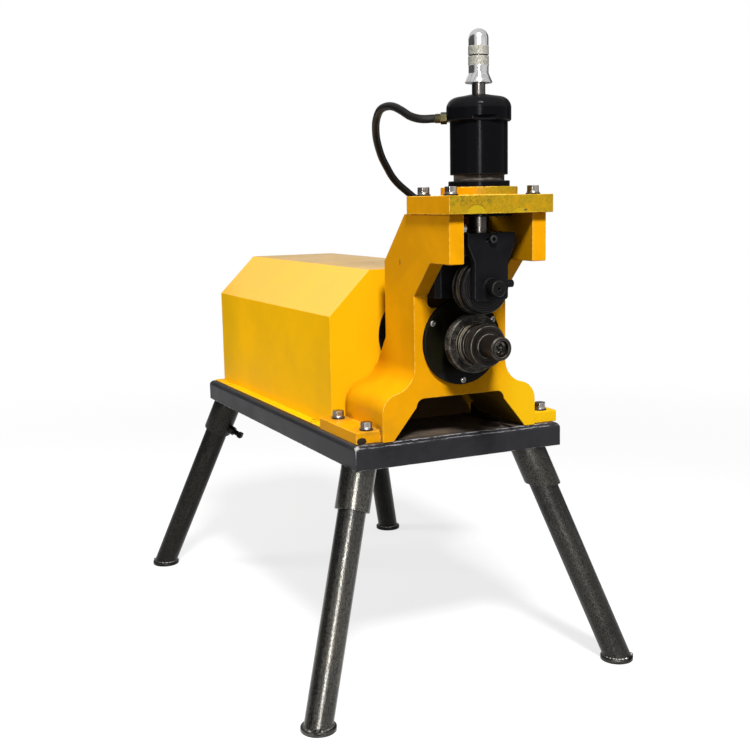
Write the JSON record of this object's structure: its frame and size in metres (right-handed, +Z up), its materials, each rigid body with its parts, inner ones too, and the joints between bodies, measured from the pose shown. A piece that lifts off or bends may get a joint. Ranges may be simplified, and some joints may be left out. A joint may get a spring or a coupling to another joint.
{
  "type": "pipe roll groover",
  "caption": "Pipe roll grooving machine: hooded motor and gearbox behind a yellow arched head with drive roll, upper roll, hydraulic ram and depth knob, on splayed tube legs.",
  "frame": {"origin": "on the floor, under the middle of the machine's bounding box", "axes": "+X forwards to the rolls along the spindle, +Y to the machine's left, +Z up"},
  "size_m": [1.0545, 0.66, 1.1145],
  "materials": {
    "tray_paint": "dark grey paint, satin",
    "leg_paint": "gunmetal hammered paint",
    "yellow_paint_cast": "yellow machine paint on cast iron",
    "yellow_paint_plate": "yellow machine paint, oily and stained",
    "yellow_paint_sheet": "yellow paint on folded sheet",
    "yellow_fastener": "painted over in yellow",
    "bright_fastener": "zinc plated",
    "black_steel": "black oxide",
    "black_gloss_steel": "black gloss paint",
    "chrome": "polished chrome with knurls",
    "ground_steel": "ground",
    "dark_rod": "oily ground steel",
    "worn_steel": "hardened, worn and oily",
    "spring_steel": "oil tempered wire",
    "gear_steel": "hobbed and oiled",
    "bronze": "sintered bronze",
    "fitting_brass": "dull brass",
    "grey_cast_iron": "grey primer on cast iron",
    "motor_paint": "grey-blue motor enamel",
    "pump_paint": "red enamel",
    "black_plastic": "moulded, matt",
    "hose_rubber": "matt black rubber cover"
  },
  "bodies": {
    "frame": {"base_tray": "tray_paint", "leg_socket_front_right": "tray_paint", "leg_socket_front_left": "tray_paint", "leg_socket_rear_right": "tray_paint", "leg_socket_rear_left": "tray_paint", "head_casting": "yellow_paint_cast", "head_bolts": "bright_fastener", "arm_bolt": "bright_fastener", "top_plate": "yellow_paint_plate", "top_plate_bolts": "bright_fastener", "cylinder_ring_nut": "black_gloss_steel", "cylinder_barrel": "black_gloss_steel", "cylinder_cap": "black_gloss_steel", "return_spring": "spring_steel", "spindle_bearings": "ground_steel", "bearing_cover": "black_gloss_steel", "bearing_cover_screws": "bright_fastener", "gearbox_case": "grey_cast_iron", "gearbox_bolts": "bright_fastener", "gearbox_bearings": "ground_steel", "motor_body": "motor_paint", "motor_fan_cover": "motor_paint", "motor_terminal_box": "motor_paint", "hood": "yellow_paint_sheet", "hood_screws": "yellow_fastener", "pump_bracket": "tray_paint", "pump_body": "pump_paint", "hose_fittings": "fitting_brass", "hydraulic_hose": "hose_rubber"},
    "spindle_group": {"spindle": "ground_steel", "drive_roll": "worn_steel", "drive_keys": "ground_steel", "draw_bolt": "bright_fastener", "output_gear": "gear_steel"},
    "countershaft_group": {"countershaft": "gear_steel"},
    "motor_rotor_group": {"motor_rotor": "gear_steel", "motor_fan": "black_plastic"},
    "ram_group": {"piston": "ground_steel", "ram_rod": "dark_rod", "depth_rod": "ground_steel", "slider_block": "black_steel", "slider_front_plate": "black_steel", "slider_fasteners": "black_steel", "roll_pin": "worn_steel", "roll_pin_screw": "black_steel"},
    "upper_roll_group": {"upper_roll": "worn_steel", "upper_roll_bush": "bronze"},
    "depth_nut_group": {"depth_nut": "chrome"},
    "lock_cap_group": {"lock_cap": "chrome"},
    "pump_lever_group": {"pump_lever": "black_steel"},
    "pump_plunger_group": {"pump_plunger": "ground_steel"},
    "release_knob_group": {"release_knob": "black_plastic"},
    "front_right_leg": {"leg_front_right": "leg_paint"},
    "front_right_clamp": {"leg_clamp_bolt_front_right": "black_steel"},
    "front_left_leg": {"leg_front_left": "leg_paint"},
    "front_left_clamp": {"leg_clamp_bolt_front_left": "black_steel"},
    "rear_right_leg": {"leg_rear_right": "leg_paint"},
    "rear_right_clamp": {"leg_clamp_bolt_rear_right": "black_steel"},
    "rear_left_leg": {"leg_rear_left": "leg_paint"},
    "rear_left_clamp": {"leg_clamp_bolt_rear_left": "black_steel"}
  },
  "joints": [
    {"name": "spindle_turn", "type": "hinge", "parent": "frame", "child": "spindle_group", "pos_m": [0.3, 0, 0.61], "axis": [1, 0, 0], "continuous": true},
    {"name": "countershaft_turn", "type": "hinge", "parent": "frame", "child": "countershaft_group", "pos_m": [0.13, 0, 0.534], "axis": [1, 0, 0], "continuous": true},
    {"name": "motor_turn", "type": "hinge", "parent": "frame", "child": "motor_rotor_group", "pos_m": [-0.1, 0, 0.61], "axis": [1, 0, 0], "continuous": true},
    {"name": "ram_slide", "type": "slide", "parent": "frame", "child": "ram_group", "axis": [0, 0, 1], "range_m": [-0.011, 0.022], "deforming": ["return_spring"]},
    {"name": "upper_roll_turn", "type": "hinge", "parent": "ram_group", "child": "upper_roll_group", "pos_m": [0.46, 0, 0.706], "axis": [1, 0, 0], "continuous": true},
    {"name": "depth_nut_turn", "type": "hinge", "parent": "ram_group", "child": "depth_nut_group", "pos_m": [0.457, 0, 1.05], "axis": [0, 0, 1], "range_deg": [-720, 720]},
    {"name": "lock_cap_turn", "type": "hinge", "parent": "ram_group", "child": "lock_cap_group", "pos_m": [0.457, 0, 1.09], "axis": [0, 0, 1], "range_deg": [-720, 720]},
    {"name": "pump_lever_swing", "type": "hinge", "parent": "frame", "child": "pump_lever_group", "pos_m": [0.026, 0.256, 0.562], "axis": [0, 1, 0], "range_deg": [0, 35]},
    {"name": "pump_plunger_slide", "type": "slide", "parent": "frame", "child": "pump_plunger_group", "axis": [0, 0, 1], "range_m": [0, 0.0178]},
    {"name": "release_knob_turn", "type": "hinge", "parent": "frame", "child": "release_knob_group", "pos_m": [0.05, 0.27, 0.484], "axis": [1, 0, 0], "range_deg": [0, 180]},
    {"name": "front_right_leg_slide", "type": "slide", "parent": "frame", "child": "front_right_leg", "axis": [-0.2262, 0.2961, 0.928], "range_m": [-0.025, 0.01]},
    {"name": "front_right_clamp_turn", "type": "hinge", "parent": "frame", "child": "front_right_clamp", "pos_m": [0.37002, -0.19536, 0.34847], "axis": [-0.8378, 0.4268, -0.3404], "range_deg": [-360, 360]},
    {"name": "front_left_leg_slide", "type": "slide", "parent": "frame", "child": "front_left_leg", "axis": [-0.2244, -0.3192, 0.9207], "range_m": [-0.025, 0.01]},
    {"name": "front_left_clamp_turn", "type": "hinge", "parent": "frame", "child": "front_left_clamp", "pos_m": [0.36991, 0.17779, 0.34891], "axis": [-0.8838, 0.4646, -0.0543], "range_deg": [-360, 360]},
    {"name": "rear_right_leg_slide", "type": "slide", "parent": "frame", "child": "rear_right_leg", "axis": [0.3175, 0.2903, 0.9027], "range_m": [-0.025, 0.01]},
    {"name": "rear_right_clamp_turn", "type": "hinge", "parent": "frame", "child": "rear_right_clamp", "pos_m": [-0.37569, -0.19, 0.35003], "axis": [0.6662, 0.6091, -0.4302], "range_deg": [-360, 360]},
    {"name": "rear_left_leg_slide", "type": "slide", "parent": "frame", "child": "rear_left_leg", "axis": [0.3192, -0.2736, 0.9074], "range_m": [-0.025, 0.01]},
    {"name": "rear_left_clamp_turn", "type": "hinge", "parent": "frame", "child": "rear_left_clamp", "pos_m": [-0.37579, 0.18896, 0.34974], "axis": [0.6889, -0.5905, -0.4204], "range_deg": [-360, 360]}
  ],
  "couplings": [
    {"joint": "countershaft_turn", "follows": "spindle_turn", "ratio": -5.3333},
    {"joint": "motor_turn", "follows": "spindle_turn", "ratio": 28.444},
    {"joint": "pump_plunger_slide", "follows": "pump_lever_swing", "m_per_rad": 0.029}
  ]
}
